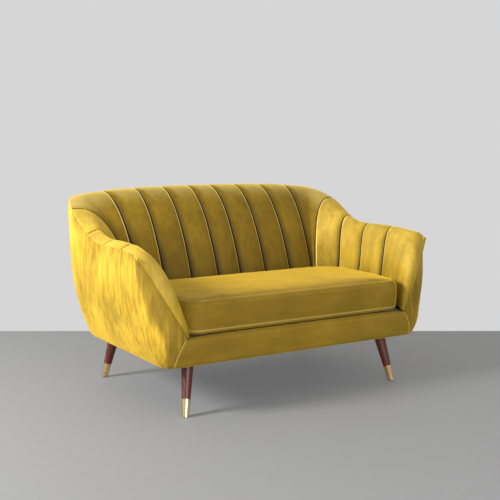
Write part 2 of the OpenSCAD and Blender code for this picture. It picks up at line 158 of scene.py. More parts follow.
# %% [markdown]
# ** Velvet** is woven with a pile of short upright threads, 1 to 2 mm long. Seen end on, the
# pile swallows light and looks deep; seen from the side, the threads' flanks shine, which
# gives bright rims and streaks where a hand has brushed it. Principled's sheen lobe does part
# of the rim; the rest is a painted sheen, a pale gold mixed into the colour where the surface
# turns away from the view. Long streaks along the fall of the pile do the brushing, and a fine
# speckle the pile. A real pile has about 20 threads a centimetre, too fine to see here, so the
# speckle is drawn at about 1.5 mm. Each piece also carries a value at its points that holds
# painted light and shade: above 0 a pale painted highlight, below 0 a deep painted shade,
# mostly beside the seams.
# %% Woven cotton velvet
def woven_velvet(name, deep, body, lit, fall, streak_per_metre, contrast):
    """Gold velvet; a small number in fall draws the brushed streaks out along that axis."""
    material, tree, shader = new_tree(name)
    streak_noise = patterned(tree, "ShaderNodeTexNoise", streak_per_metre, fall, Detail=6.0, Roughness=0.66)
    cloud = patterned(tree, "ShaderNodeTexNoise", 6, (1, 1, 0.6), Detail=2.0, Roughness=0.5)
    pile = patterned(tree, "ShaderNodeTexNoise", 620, (1, 1, 1), Detail=2.0, Roughness=0.7)
    streaks = worked(tree, "MULTIPLY_ADD", streak_noise.outputs[0], 0.6, -0.05)
    patches = worked(tree, "MULTIPLY_ADD", cloud.outputs[0], 0.5, streaks)
    tone = ramp(tree, patches, 0.38, 0.62, deep, lit)
    colour = mixed(tree, contrast, body, tone)
    speck = ramp(tree, pile.outputs[0], 0.25, 0.75, "#C8C8C8", "#FFFFFF")
    colour = mixed(tree, 0.55, colour, speck, "MULTIPLY")
    # Painted sheen: a pale gold mixed into the colour where the surface turns away from the view, on top of
    # the sheen lobe.
    painted_sheen_facing = add_node(tree, "ShaderNodeLayerWeight", {"Blend": 0.5})
    rim = {0: painted_sheen_facing.outputs["Facing"], 1: 0.55, 2: 1.0, 3: 0.0, 4: 0.4}
    rim = add_node(tree, "ShaderNodeMapRange", rim)
    colour = mixed(tree, rim.outputs[0], colour, "#FFD348")
    nap = add_node(tree, "ShaderNodeAttribute", attribute_name="nap").outputs["Fac"]
    # The value painted at the points: a pale painted highlight above 0, a dark painted shade below 0.
    for sign, painted_light_shade_colour in ((1.0, "#FFE58A"), (-1.0, "#2E2003")):
        colour = mixed(tree, worked(tree, "MULTIPLY", nap, sign, clamp=True), colour, painted_light_shade_colour)
    tree.links.new(colour, shader.inputs["Base Color"])
    set_surface(shader, Roughness=0.6, Specular_IOR_Level=0.15, IOR=1.53)
    set_surface(shader, Sheen_Weight=0.4, Sheen_Roughness=0.3, Sheen_Tint=linear("#FFCE3C"))
    relief = worked(tree, "MULTIPLY_ADD", streak_noise.outputs[0], 0.5, pile.outputs[0])
    bumped(tree, shader, relief, 0.9, 0.5)
    return material


# Five copies of one velvet, each painted lighter or darker for how the light falls on its part: darker on
# the back and the seat, lighter on the arm channels and the outer panels, between on the front rail.
velvet_back_painted_shade = woven_velvet("velvet_gold_back_painted_shade", "#564205", "#7C6210", "#977A18", (1, 1, 0.1), 40, 0.35)
velvet_arm_painted_light = woven_velvet("velvet_gold_arm_painted_light", "#6A5209", "#A58722", "#D4AD36", (1, 0.7, 0.2), 30, 0.45)
velvet_panel_painted_light = woven_velvet("velvet_gold_panel_painted_light", "#5E4806", "#B89528", "#E8BC3C", (1, 0.8, 0.1), 80, 0.6)
velvet_rail_painted_light_level = woven_velvet("velvet_gold_rail_painted_light_level", "#735A12", "#8E721E", "#A58628", (0.3, 1, 1), 16, 0.4)
velvet_seat_painted_shade = woven_velvet("velvet_gold_seat_painted_shade", "#6C540E", "#866B19", "#9B7C20", (0.25, 1, 1), 16, 0.4)
painted_light_copies = (velvet_back_painted_shade, velvet_arm_painted_light, velvet_panel_painted_light, velvet_rail_painted_light_level, velvet_seat_painted_shade)
print("five lays of one velvet:", *(m.name for m in painted_light_copies))

# %% [markdown]
# **Polished hardwood** legs are turned, stained a dark red brown and lacquered. The stain sinks
# into the grain and leaves darker lines along the leg, and the lacquer puts a clear gloss over
# it. The hidden frame is plain sawn beech: pale, matt, with the same grain at board size.
# %% Wood: lacquered legs and sawn beech
def grained_wood(name, dark, light, ring_mm, along, roughness, coat):
    """along holds the axis stretch: small along the grain, 1 across it."""
    material, tree, shader = new_tree(name)
    warp = patterned(tree, "ShaderNodeTexNoise", 9, along, Detail=3.0)
    rings = patterned(tree, "ShaderNodeTexWave", 1000 / ring_mm / 6.28, along, Distortion=5.0, Detail=3.0)
    fibre = patterned(tree, "ShaderNodeTexNoise", 900, along, Detail=4.0, Roughness=0.7)
    grain = worked(tree, "MULTIPLY", rings.outputs[1], fibre.outputs[0])
    colour = ramp(tree, grain, 0.05, 0.6, dark, light)
    colour = mixed(tree, 0.35, colour, ramp(tree, warp.outputs[0], 0.3, 0.7, dark, light))
    tree.links.new(colour, shader.inputs["Base Color"])
    set_surface(shader, Roughness=roughness, IOR=1.5, Coat_Weight=coat, Coat_Roughness=0.12)
    bumped(tree, shader, fibre.outputs[0], 0.15, 0.35)
    return material


leg_wood = grained_wood("walnut_stained_lacquered", "#2A0B03", "#72260D", 3.0, (1, 1, 0.06), 0.42, 0.08)
frame_wood = grained_wood("beech_sawn", "#A9804F", "#D9B583", 4.0, (0.08, 1, 1), 0.7, 0.0)
print("ring spacing 3 mm on the legs, 4 mm on the boards")

# %% [markdown]
# **Brass** ferrules are spun from tube and polished, so they mirror the room with faint rings
# left by the lathe. Screws, bolts and plates are zinc plated, which gives a cool grey with a
# soft bloom. Both are metals, so the base colour is the colour of the reflection.
# %% Metals
def polished_metal(name, colour, tarnish, roughness, ring_mm):
    material, tree, shader = new_tree(name)
    lathe = patterned(tree, "ShaderNodeTexNoise", 1000 / ring_mm, (0.05, 0.05, 1), Detail=2.0)
    bloom = patterned(tree, "ShaderNodeTexNoise", 55, (1, 1, 1), Detail=4.0, Roughness=0.6)
    tree.links.new(ramp(tree, bloom.outputs[0], 0.42, 0.85, colour, tarnish), shader.inputs["Base Color"])
    set_surface(shader, Metallic=1.0)
    limits = {0: lathe.outputs[0], 3: roughness * 0.75, 4: roughness * 1.3}
    spread = add_node(tree, "ShaderNodeMapRange", limits)
    tree.links.new(spread.outputs[0], shader.inputs["Roughness"])
    bumped(tree, shader, lathe.outputs[0], 0.04, 0.3)
    return material


brass = polished_metal("brass_spun_polished", "#F2D59A", "#C9A160", 0.16, 1.2)
zinc = polished_metal("steel_zinc_plated", "#B9BBBE", "#8F9296", 0.42, 2.0)
zip_brass = polished_metal("brass_die_cast", "#C9A25C", "#8F6C34", 0.38, 2.0)
print("metals:", brass.name, zinc.name, zip_brass.name)

# %% [markdown]
# The **plain cloths** are only seen from below or with the cushion lifted: a black spun-bonded
# dust cover, jute webbing, a felted deck pad and the zip's tape. Each is a weave or a felt, so
# one builder draws crossed threads at the spacing of the real cloth, and a felt is the same
# with the threads lost in noise.
# %% Cloths, foam, wadding and plastic
def woven_cloth(name, dark, light, thread_mm, felted, roughness=0.9):
    material, tree, shader = new_tree(name)
    per_metre = 1000 / thread_mm / 6.28
    even, turned = (1, 1, 1), (0, 0, math.pi / 2)
    warp = patterned(tree, "ShaderNodeTexWave", per_metre, even, Distortion=0.6)
    weft = patterned(tree, "ShaderNodeTexWave", per_metre, even, turned, Distortion=0.6)
    fluff = patterned(tree, "ShaderNodeTexNoise", 700, (1, 1, 1), Detail=4.0, Roughness=0.75)
    over = worked(tree, "MAXIMUM", warp.outputs[1], weft.outputs[1])
    height = add_node(tree, "ShaderNodeMix", {0: felted, 2: over, 3: fluff.outputs[0]})
    tree.links.new(ramp(tree, height.outputs[0], 0.2, 0.8, dark, light), shader.inputs["Base Color"])
    set_surface(shader, Roughness=roughness, Sheen_Weight=0.15)
    bumped(tree, shader, height.outputs[0], 0.35 * thread_mm, 0.6)
    return material


dust_cloth = woven_cloth("polypropylene_spunbonded", "#0E0E0F", "#26262A", 1.2, 0.6)
jute = woven_cloth("jute_webbing", "#3B2A18", "#7A5C38", 2.4, 0.15)
deck_felt = woven_cloth("polyester_needle_felt", "#1C1B1B", "#3A3836", 1.5, 0.8)
zip_cloth = woven_cloth("polyester_zip_tape", "#5C4713", "#8D7027", 1.0, 0.1)
wadding = woven_cloth("polyester_wadding", "#CFCDC4", "#F2F1EC", 3.0, 0.95)
foam = woven_cloth("polyurethane_foam", "#CFC28E", "#EFE6BC", 1.5, 1.0, 0.95)
glide_plastic = woven_cloth("nylon_moulded", "#0C0C0D", "#1B1B1C", 1.5, 1.0, 0.5)
print("cloths:", dust_cloth.name, jute.name, deck_felt.name, zip_cloth.name)

# %% [markdown]
# The padding wraps from the left arm round the back to the right arm in one sweep, and the
# channel seams divide it. So one pair of numbers can name every point on it: q counts seams
# along the sweep from the middle of the back, and t runs up from the foot to the outer rim.
# These stations are in millimetres: where the sweep's foot, rim and base pass each seam.
# %% Stations along the sweep
BODY_BOTTOM, ARM_TOP, BACK_TOP, SEAM_Z = 198.0, 628.0, 806.0, 313.0
BASE_HALF, HALF_WIDTH, FRONT_Y = 600.0, 686.0, -455.0
FOOT = [
    (-1.5, -190, 100), (-0.5, -58, 100), (0.5, 58, 100), (1.5, 190, 100), (2.5, 322, 98),
    (3.5, 438, 95), (4.0, 445, 94), (4.5, 452, 92), (5.5, 556, 64), (6.5, 564, -75),
    (7.5, 559, -235), (8.0, 538, -375), (8.25, 511, -442), (8.5, 517, -454),
]
RIM = [
    (-1.5, -190, 462), (-0.5, -58, 462), (0.5, 58, 462), (1.5, 190, 462), (2.5, 326, 460),
    (3.5, 480, 452), (4.0, 622, 406), (4.5, 673, 270), (5.5, 674, 98), (6.5, 675, -65),
    (7.5, 677, -232), (8.0, 681, -345), (8.25, 683, -374), (8.5, 684, -396),
]
BASE = [
    (-1.5, -190, 305), (-0.5, -58, 305), (2.5, 322, 305), (3.5, 470, 305), (4.0, 580, 286),
    (4.5, 600, 236),
]


def ease(x):
    c = np.clip(x, 0, 1)
    return c * c * (3 - 2 * c)


def mix(a, b, w):
    return a * (1 - w) + b * w


def through(stations, q):
    """A smooth curve through the stations, read at each q."""
    table = np.array(stations, float)
    at, value = table[:, 0], table[:, 1:]
    slope = np.empty_like(value)
    slope[1:-1] = (value[2:] - value[:-2]) / (at[2:] - at[:-2])[:, None]
    slope[0] = (value[1] - value[0]) / (at[1] - at[0])
    slope[-1] = (value[-1] - value[-2]) / (at[-1] - at[-2])
    i = np.clip(np.searchsorted(at, q, side="right") - 1, 0, len(at) - 2)
    h = at[i + 1] - at[i]
    s = (q - at[i]) / h
    a = (2 * s**3 - 3 * s**2 + 1)[..., None]
    b = ((s**3 - 2 * s**2 + s) * h)[..., None]
    c = ((s**3 - s**2) * h)[..., None]
    return a * value[i] + b * slope[i] + (1 - a) * value[i + 1] + c * slope[i + 1]


print("the right arm starts at x =", through(FOOT, np.array(4.5)).round(1), "mm")

# %% [markdown]
# Between foot and rim the padding follows a Bezier curve. On the back it leans away and rolls
# over the top; on the arms it stands steeper; at the nose of each arm it turns to the front.
# A soft roll is added on the arms: it lifts their top inside the rim and fills out the nose.
# The channels then swell out from this surface, and dip sharply at the seams, where the thread
# pulls the velvet down to the backing.
# %% The padding surface
ARM_ROLL, NOSE_ROLL = 29.0, 28.0


def rim_height(p):
    rise = (BACK_TOP - ARM_TOP) * ease((p[..., 1] + 20) / 470)
    return ARM_TOP + rise - 45e-6 * p[..., 0] ** 2 * ease((p[..., 1] - 200) / 260)


def roll(side, w, t):
    """The soft top of the arms, which stands inside and above the rim, and their full noses."""
    along = ease((w - 3.9) / 1.1) * (1 - ease(w - 7.5))
    at_nose = ease((w - 7.7) / 0.45) * (1 - ease((w - 8.2) / 0.3))
    top = ARM_ROLL * along * 9.48 * t**3 * (1 - t)
    nose = NOSE_ROLL * at_nose * np.clip(np.sin(math.pi * t**1.3), 0, 1) ** 0.8
    return np.stack([-side * (0.95 * top + 0.7 * nose), -0.4 * nose, 0.5 * top + 0.35 * nose], -1)


def padding(q, t):
    """Points on the padding's base surface, in millimetres."""
    q, t = np.broadcast_arrays(np.asarray(q, float), np.asarray(t, float))
    side, w = np.where(q < 0, -1.0, 1.0), np.abs(q)
    foot2, rim2 = through(FOOT, w), through(RIM, w)
    foot = np.stack([foot2[..., 0] * side, foot2[..., 1], 330 - 17 * ease((w - 7.8) / 0.7)], -1)
    rim = np.stack([rim2[..., 0] * side, rim2[..., 1], rim_height(rim2) - 21 * ease((w - 8) / 0.5)], -1)
    d = rim - foot
    arm, nose, tuck = ease((w - 3.5) / 2), ease((w - 7.6) / 0.9), np.exp(-(((w - 4.5) / 0.7) ** 2))
    f1, g1 = mix(mix(0.14, 0.20, arm), 0.30, nose), mix(mix(0.50, 0.37, arm), 0.30, nose)
    f2, g2 = mix(0.55, 0.70, nose), mix(mix(1.14, 1.13, arm), 0.72, nose)
    pull = -23 * side * tuck
    rise = [f1 * d[..., 0] + pull, f1 * d[..., 1] - 18 * nose, g1 * d[..., 2] - 21 * tuck]
    p1 = foot + np.stack(rise, -1)
    p2 = foot + np.stack(
        [f2 * d[..., 0] + pull, f2 * d[..., 1] + 44 * tuck - 14 * nose, g2 * d[..., 2] - 61 * tuck], -1
    )
    u, s = (1 - t)[..., None], t[..., None]
    return u**3 * foot + 3 * u * u * s * p1 + 3 * u * s * s * p2 + s**3 * rim + roll(side, w, t)


def crossed(first, second):
    """Two grids, one for each list, that together hold every pair."""
    return np.meshgrid(first, second, indexing="ij")


def unit(v):
    return v / np.maximum(np.linalg.norm(v, axis=-1, keepdims=True), 1e-9)


def padding_normal(q, t, e=0.002):
    """The way the padding faces: towards whoever sits there."""
    dq = padding(q + e, t) - padding(q - e, t)
    dt = padding(q, np.minimum(t + e, 1)) - padding(q, np.maximum(t - e, 0))
    return unit(np.cross(dq, dt))


middle = padding(0.0, np.linspace(0, 1, 200))
print("the middle of the back is highest at", middle[middle[:, 2].argmax()].round(1), "mm")

# %% [markdown]
# A panel with a thickness is two grids of points, a face and a lining, joined round the edge.
# Building it as one closed mesh keeps it solid from every side, and lets each point of the
# face carry the painted light and shade that the velvet's material reads. The lining has none.
# %% From grids to pieces
def place(name, points_mm, faces, material, body, slot, replaced=(), nap=None):
    """A smooth mesh piece that rides on a body, stands for CAD nodes and takes the material given; slot is
    not used.
    """
    mesh = bpy.data.meshes.new(name)
    mesh.from_pydata((np.asarray(points_mm, float).reshape(-1, 3) / 1000).tolist(), [], faces)
    mesh.validate()
    if nap is not None:
        values = np.concatenate([np.ravel(nap), np.zeros(np.size(nap))])
        mesh.attributes.new("nap", "FLOAT", "POINT").data.foreach_set("value", values)
    mesh.shade_smooth()
    piece = in_scene(name, mesh)
    mesh.materials.append(material)
    return settle(piece, body, replaced)


def box_mm(node):
    """The lowest and the highest corner of a CAD part, in millimetres."""
    return np.array(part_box(node)) * 1000


def settle(piece, body, replaced=()):
    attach(piece, body)
    if replaced:
        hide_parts(*replaced)
    return piece


def slab_faces(n, m):
    """Faces of a closed slab from two n by m grids, the face's points first, then the lining's."""
    size = n * m

    def at(i, j):
        return i * m + j

    cells = [(i, j) for i in range(n - 1) for j in range(m - 1)]
    skin = [(at(i, j), at(i, j + 1), at(i + 1, j + 1), at(i + 1, j)) for i, j in cells]
    back = [tuple(v + size for v in reversed(f)) for f in skin]
    rim = [at(0, j) for j in range(m)] + [at(i, m - 1) for i in range(1, n)]
    rim += [at(n - 1, j) for j in range(m - 2, -1, -1)] + [at(i, 0) for i in range(n - 2, 0, -1)]
    wall = [(b, a, a + size, b + size) for a, b in zip(rim, rim[1:] + rim[:1])]
    return skin + back + wall


def slab(name, face, lining, **rest):
    """A closed piece between two grids; it is turned if its faces point inward."""
    n, m = face.shape[:2]
    faces = slab_faces(n, m)
    points = np.concatenate([face.reshape(-1, 3), lining.reshape(-1, 3)])
    tri = points[np.array([f[:3] for f in faces])]
    if np.einsum("ij,ij->i", tri[:, 0], np.cross(tri[:, 1], tri[:, 2])).sum() < 0:
        faces = [tuple(reversed(f)) for f in faces]
    return place(name, points, faces, **rest)


def ripple(points_mm, wavelength_mm, seed):
    """Smooth noise from -1 to 1 over points in space, the same on every run."""
    flat = points_mm.reshape(-1, 3) / wavelength_mm + seed * 7.31
    return np.array([noise.noise(Vector(p)) for p in flat]).reshape(points_mm.shape[:-1])


print("a slab of 3 by 4 points has", len(slab_faces(3, 4)), "faces")

# %% [markdown]
# Each **channel** is a long pad. Across it the velvet rises steeply from the seams and is
# almost flat on top; along it the swell starts at the cushion and dies at the rim. Three small
# things keep it from looking moulded: a slow unevenness in the wadding, short puckers that
# run out from the seams, and a narrow valley where the stitches bite. Beside each seam, a
# painted highlight lies on a small lip on one side, and painted shade lies in the seam and in
# a band on the other side. The channels are painted darker low down, as shade by the cushion,
# and paler where the back's pad rolls over the top, as light from above.
# %% Sewn channels
CHANNEL_SWELL, BITE, LIP = 12.0, 8.0, 1.6
ACROSS, UPWARD = 41, 110
LAST_BACK, LAST_ARM = 4, 8


def bell(x, reach):
    """1 at 0, and almost nothing at twice the reach."""
    return np.exp(-((x / reach) ** 2))


def swell(q, t, k):
    """The pad's rise over its base, and the distance from the nearer seam, in millimetres."""
    v = np.clip(np.abs(np.abs(q) - k) * 2, 0, 1)
    width = np.linalg.norm(padding(k + 0.5, t) - padding(k - 0.5, t), axis=-1)
    fade = np.clip((1 - t) / 0.12, 0, 1) ** 0.6 * np.minimum(0.35 + t / 0.15, 1)
    fade = fade * (1 - 0.55 * ease((t - 0.5) / 0.3))
    return CHANNEL_SWELL * (1 - v**2.6) ** 0.5 * fade * np.minimum(width / 90, 1), (1 - v) * width / 2


def channel_nap(from_seam, t, lip_and_painted_highlight_side, painted_shade_side, outer, on_back):
    """Painted light and shade: a painted highlight on the lip beside a seam, painted shade in the seam and
    in a band beside it, painted shade low down and painted light at the top.
    """
    # Painted shade in the seam's groove, a painted highlight on the lip, and a band of painted shade on the
    # other side, fainter towards the top.
    painted_seam_shade = 0.9 * bell(from_seam + np.where(lip_and_painted_highlight_side, 3.0, 0.0), 3.0) * np.where(outer, 0.3, 1)
    lip = 0.75 * bell(from_seam - 4.5, 2.2) * lip_and_painted_highlight_side
    painted_shade_band = 0.75 * bell(from_seam, 20) * painted_shade_side * (1 - 0.85 * ease((t - 0.6) / 0.35))
    # Painted light at the top of the back, a little over all of the arm, and painted shade low down by the
    # cushion.
    top = 0.24 * ease((t - 0.6) / 0.3) if on_back else 0.06
    return lip - painted_seam_shade - painted_shade_band + top - 0.3 * (1 - ease((t - 0.1) / 0.4))


def channel(name, node, side, k):
    """One velvet channel from seam k - 0.5 to seam k + 0.5 on that side."""
    on_back = k <= LAST_BACK
    spread = np.linspace(-1, 1, ACROSS)
    spread = np.sign(spread) * (1 - (1 - np.abs(spread)) ** 1.5)
    q = side * k + 0.5 * side * spread * 0.998
    t = ease(np.linspace(0, 1, UPWARD)) * 0.5 + np.linspace(0, 1, UPWARD) * 0.5
    q, t = crossed(q, t)
    along = np.broadcast_to(spread[:, None], t.shape)
    outer = (k == LAST_ARM) & (along > 0)
    if on_back:
        lip_and_painted_highlight_side, painted_shade_side = (side * along > 0) & (k + along / 2 < 4.4), side * along < 0
    else:
        lip_and_painted_highlight_side, painted_shade_side = (along < 0) & (t < 0.9), (along > 0) & (k < LAST_ARM)
    base, facing = padding(q, t), padding_normal(q, t)
    rise, from_seam = swell(q, t, k)
    lumps = 1.1 * ripple(base, 120, k + 3 * side) * np.clip(from_seam / 30, 0, 1)
    puckers = 1.2 * ripple(base, 22, k) * np.exp(-from_seam / 14) * np.clip(from_seam / 4, 0, 1)
    bite = np.where(outer, 2.5, BITE * (1 - 0.7 * ease((t - 0.6) / 0.3))) * bell(from_seam, 2.2)
    lip = LIP * bell(from_seam - 4.5, 2.2) * lip_and_painted_highlight_side
    face = base + (rise + lumps + puckers - bite + lip)[..., None] * facing
    depth = 24 * (1 - 0.75 * ease((t - 0.55) / 0.4)) + 4
    depth = np.where(outer, depth * (1 - 0.9 * bell(from_seam, 22)), depth)
    piece = slab(
        name, face, base - depth[..., None] * facing, body="sofa_body", slot="velvet",
        material=velvet_back_painted_shade if on_back else velvet_arm_painted_light, replaced=[node],
        nap=channel_nap(from_seam, t, lip_and_painted_highlight_side, painted_shade_side, outer, on_back),
    )
    return piece


for i in range(9):
    k = i - 4
    channel(f"back_channel_{i + 1}_velvet", f"back_channel_{i + 1}", -1 if k < 0 else 1, abs(k))
for side, hand in ((-1, "left"), (1, "right")):
    for i in range(1, 5):
        channel(f"{hand}_arm_channel_{i}_velvet", f"{hand}_arm_channel_{i}", side, i + 4)
print("17 channels, each", ACROSS, "by", UPWARD, "points")

# %% [markdown]
# The **outer panels** are velvet stretched over thin wadding on the frame. Each side panel
# starts at the rear seam, runs along the arm, turns the front corner with a soft crease, and
# ends in a seam that climbs from under the cushion to the nose of the arm. The edges of the
# padding are already known, so each panel is first shaped freely and then eased on to them.
# %% Seams that the panels meet
def side_x(z):
    h = np.clip((z - BODY_BOTTOM) / (ARM_TOP - BODY_BOTTOM), 0, 1)
    return BASE_HALF + (HALF_WIDTH - BASE_HALF) * (1 - (1 - h) ** 2.8)


def front_face(z):
    h = np.clip((z - BODY_BOTTOM) / 102, 0, 1)
    return FRONT_Y + 20 - 20 * (1 - (1 - h) ** 2)


def corner_radius(z):
    return 50 + 60 * ease((z - BODY_BOTTOM) / 180)


nose_edge = padding(8.5, np.linspace(0, 1, 240))
arm_edge_q = np.linspace(8.0, 4.5, 300)
arm_edge = padding(arm_edge_q, 1.0)


def front_seam(z):
    """x and y of the seam up the front of the arm, and on down the front rail."""
    low_x = 517 + 46 * (1 - (1 - np.clip((SEAM_Z - z) / 115, 0, 1)) ** 2)
    x = np.where(z < SEAM_Z, low_x, np.interp(z, nose_edge[:, 2], nose_edge[:, 0]))
    y = np.where(z < SEAM_Z, front_face(z), np.interp(z, nose_edge[:, 2], nose_edge[:, 1]))
    return np.stack([x, y], -1)


def back_surface(q, h):
    """The outer back; q runs along the sweep, and h from 0 at the bottom to 1 at the rim."""
    side, w = np.where(q < 0, -1.0, 1.0), np.abs(q)
    low, high = through(BASE, w), through(RIM, w)
    top = rim_height(high)
    z = BODY_BOTTOM + (top - BODY_BOTTOM) * h
    lift = np.clip((z - BODY_BOTTOM) / (ARM_TOP - BODY_BOTTOM), 0, 1)
    kx = 1 - (1 - lift) ** 2.8
    bulge = 8 * ease((w - 3.3) / 1.2) * kx * (1 - np.clip((h - 0.9) / 0.1, 0, 1) ** 2)
    x = mix(low[..., 0], high[..., 0], kx) + bulge
    y = mix(low[..., 1], high[..., 1], 1 - (1 - h) ** 1.35)
    return np.stack([side * x, y, z], -1)


def side_surface(a, h):
    """The right outer side; a is 0 at the rear seam, 0.6 at the corner, 1 at the front seam."""
    f, g = np.clip((a - 0.6) / 0.4, 0, 1), np.clip(a / 0.6, 0, 1)
    y_top = mix(270, -345, g)
    order = np.argsort(arm_edge[:, 1])
    along = [np.interp(y_top, arm_edge[order, 1], arm_edge[order, c]) for c in range(3)]
    turned = padding(8.0 + 0.5 * f, 1.0)
    rim = np.where((a <= 0.6)[..., None], np.stack([along[0], y_top, along[2]], -1), turned)
    z = BODY_BOTTOM + (rim[..., 2] - BODY_BOTTOM) * h
    radius = corner_radius(z)
    cx, cy = side_x(z) - radius, front_face(z) + radius
    seam = front_seam(z)
    over = seam[..., 0] - cx
    angle = np.where(over > 0, np.arccos(np.clip(over / radius, -1, 1)), math.pi / 2)
    run = (radius * angle + np.clip(-over, 0, None)) * f
    turn = np.minimum(run / radius, math.pi / 2)
    extra = np.clip(run - radius * math.pi / 2, 0, None)
    rear_rim = rim_height(through(RIM, np.array(4.5)))
    rear = back_surface(np.full_like(h, 4.5), (z - BODY_BOTTOM) / (rear_rim - BODY_BOTTOM))
    straight = np.stack([side_x(z), mix(rear[..., 1], cy, g), z], -1)
    straight[..., 0] += (rear[..., 0] - side_x(z)) * (1 - g) ** 3
    end_x, end_y = cx + radius * np.cos(angle) - np.clip(-over, 0, None), cy - radius * np.sin(angle)
    to_seam = ease(f)
    bent = np.stack(
        [
            cx + radius * np.cos(turn) - extra + (seam[..., 0] - end_x) * to_seam,
            cy - radius * np.sin(turn) + (seam[..., 1] - end_y) * to_seam,
            z,
        ],
        -1,
    )
    return np.where((a <= 0.6)[..., None], straight, bent), rim


def side_grid(columns, rows):
    """The side surface with its upper edge eased on to the rim of the arm."""
    a, h = crossed(columns, rows)
    points, rim = side_surface(a, h)
    top, _ = side_surface(a[:, -1:], np.ones_like(a[:, -1:]))
    return points + (rim - top) * ease((h - 0.72) / 0.28)[..., None], a, h


print("the front seam meets the floor rail at", front_seam(np.array(BODY_BOTTOM)).round(1), "mm")

# %% [markdown]
# The stretched velvet shows three things: a soft crease where the side turns to the front,
# faint drags that run from the corners of the panel, and a fold of a few millimetres at each
# seam, where the edge is turned in. The lower edge is pulled under the frame. A painted
# highlight runs along the front seam and painted shade along the top seam; the panel is darker
# in patches just below the top seam, and painted shade darkens it where it turns to face the
# front, away from the light.
# %% Outer side panels
STITCH, PANEL_THICK = 2.6, 8.0


def grid_normal(points):
    """Unit normals of a grid of points, from its own two directions."""
    return unit(np.cross(np.gradient(points, axis=0), np.gradient(points, axis=1)))


def turned_in(from_edge, reach=5.0, depth=3.0):
    """How far the velvet dips beside an edge seam."""
    return depth * bell(from_edge, reach)


def edge_distance(points, axis, end):
    """Distance in the grid from one of its edges, in millimetres."""
    moved = np.moveaxis(points, axis, 0)
    moved = moved[::-1] if end else moved
    step = np.linalg.norm(np.diff(moved, axis=0), axis=-1)
    total = np.concatenate([np.zeros_like(step[:1]), np.cumsum(step, axis=0)])
    return np.moveaxis(total[::-1] if end else total, 0, axis)


def edge_distances(points):
    """The distance of every point from the top, the foot, the first and the last column."""
    edges = ((1, True), (1, False), (0, False), (0, True))
    return [edge_distance(points, axis, end) for axis, end in edges]


def side_panel(name, node, side):
    columns = np.concatenate([np.linspace(0, 0.6, 70), 0.6 + 0.4 * np.linspace(0, 1, 66)[1:]])
    rows = ease(np.linspace(0, 1, 90)) * 0.35 + np.linspace(0, 1, 90) * 0.65
    points, a, h = side_grid(columns, rows)
    out = -grid_normal(points)
    f = np.clip((a - 0.6) / 0.4, 0, 1)
    crease = 4.0 * bell(f - mix(0.62, 0.35, h), 0.13) * ease(h / 0.2) * ease((1.03 - h) / 0.2)
    drags = 1.3 * ripple(points * [1, 1, 0.35], 42, 5) + 1.6 * ripple(points, 150, 9)
    top, low, rear, front = edges = edge_distances(points)
    offset = (crease + drags) * np.clip(np.min(edges, axis=0) / 30, 0, 1)
    offset -= np.maximum(turned_in(top), turned_in(front)) + turned_in(low, 7, 5) + turned_in(rear)
    face = points + offset[..., None] * out
    streak_noise = 0.5 + 0.9 * ripple(points * [1, 1, 0.3], 24, 41)
    # Painted highlight along the front seam, painted shade along the top seam, darker streaky patches below
    # it, and painted shade on the part that faces the front.
    nap = 0.5 * bell(front, STITCH) - 0.5 * bell(top, STITCH) - 0.55 * bell(top, 60) * streak_noise
    nap -= 0.42 * ease((f - mix(0.55, 0.2, h)) / 0.2)
    lining = points - PANEL_THICK * out
    scale = np.array([side, 1, 1])
    piece = slab(
        name, face * scale, lining * scale, material=velvet_panel_painted_light, body="sofa_body", slot="velvet",
        replaced=[node], nap=nap,
    )
    return piece


side_panel("outer_side_left_velvet", "outer_side_left", -1)
side_panel("outer_side_right_velvet", "outer_side_right", 1)
print("side panels turn the front corner with a crease")

# %% [markdown]
# The **outer back** wraps both rear corners in one piece, from the rim down to the rail. The
# **front rail** is covered by its own strip between the two front seams, with a faint crown
# because the wadding behind it is soft.
# %% Outer back and front rail
def outer_back():
    corner = np.linspace(3.3, 4.5, 44)[1:]
    columns = np.concatenate([-corner[::-1], np.linspace(-3.3, 3.3, 120), corner])
    q, h = crossed(columns, np.linspace(0, 1, 70))
    points = back_surface(q, h)
    out = -grid_normal(points)
    if out[len(columns) // 2, 30, 1] < 0:
        out = -out
    drags = 1.2 * ripple(points * [1, 1, 0.35], 50, 15) + 2.2 * ripple(points, 190, 19)
    top, low, left, right = edges = edge_distances(points)
    offset = drags * np.clip(np.min(edges, axis=0) / 40, 0, 1)
    offset -= turned_in(top) + turned_in(low, 7, 5) + turned_in(left) + turned_in(right)
    # A pale painted highlight along the seams at both ends and along the top.
    nap = 0.5 * bell(np.minimum(np.minimum(left, right), top), STITCH)
    piece = slab(
        "outer_back_velvet", points + offset[..., None] * out, points - PANEL_THICK * out,
        material=velvet_panel_painted_light, body="sofa_body", slot="velvet", replaced=["outer_back"], nap=nap,
    )
    return piece


def rail_cover():
    u, v = crossed(np.linspace(-1, 1, 240), np.linspace(0, 1, 40))
    z = BODY_BOTTOM + (SEAM_Z + 1 - BODY_BOTTOM) * v
    seam = front_seam(z)
    points = np.stack([u * seam[..., 0], mix(front_face(z), seam[..., 1], u**8), z], -1)
    out = -grid_normal(points)
    if out[120, 20, 1] > 0:
        out = -out
    top, low, left, right = edge_distances(points)
    end = np.minimum(left, right)
    drags = 0.7 * ripple(points * [0.5, 1, 1], 45, 25) + 1.2 * ripple(points, 160, 29)
    offset = drags * np.clip(np.minimum(low, end) / 25, 0, 1) - turned_in(low, 7, 5) - turned_in(end)
    offset -= turned_in(top, 9, 14)
    # A pale painted highlight along the seams at both ends.
    piece = slab(
        "front_rail_velvet", points + offset[..., None] * out, points - 20 * out, material=velvet_rail_painted_light_level,
        body="sofa_body", slot="velvet", replaced=["front_rail_cover"], nap=0.5 * bell(end, STITCH),
    )
    return piece


outer_back()
rail_cover()
print("outer back and front rail covered")

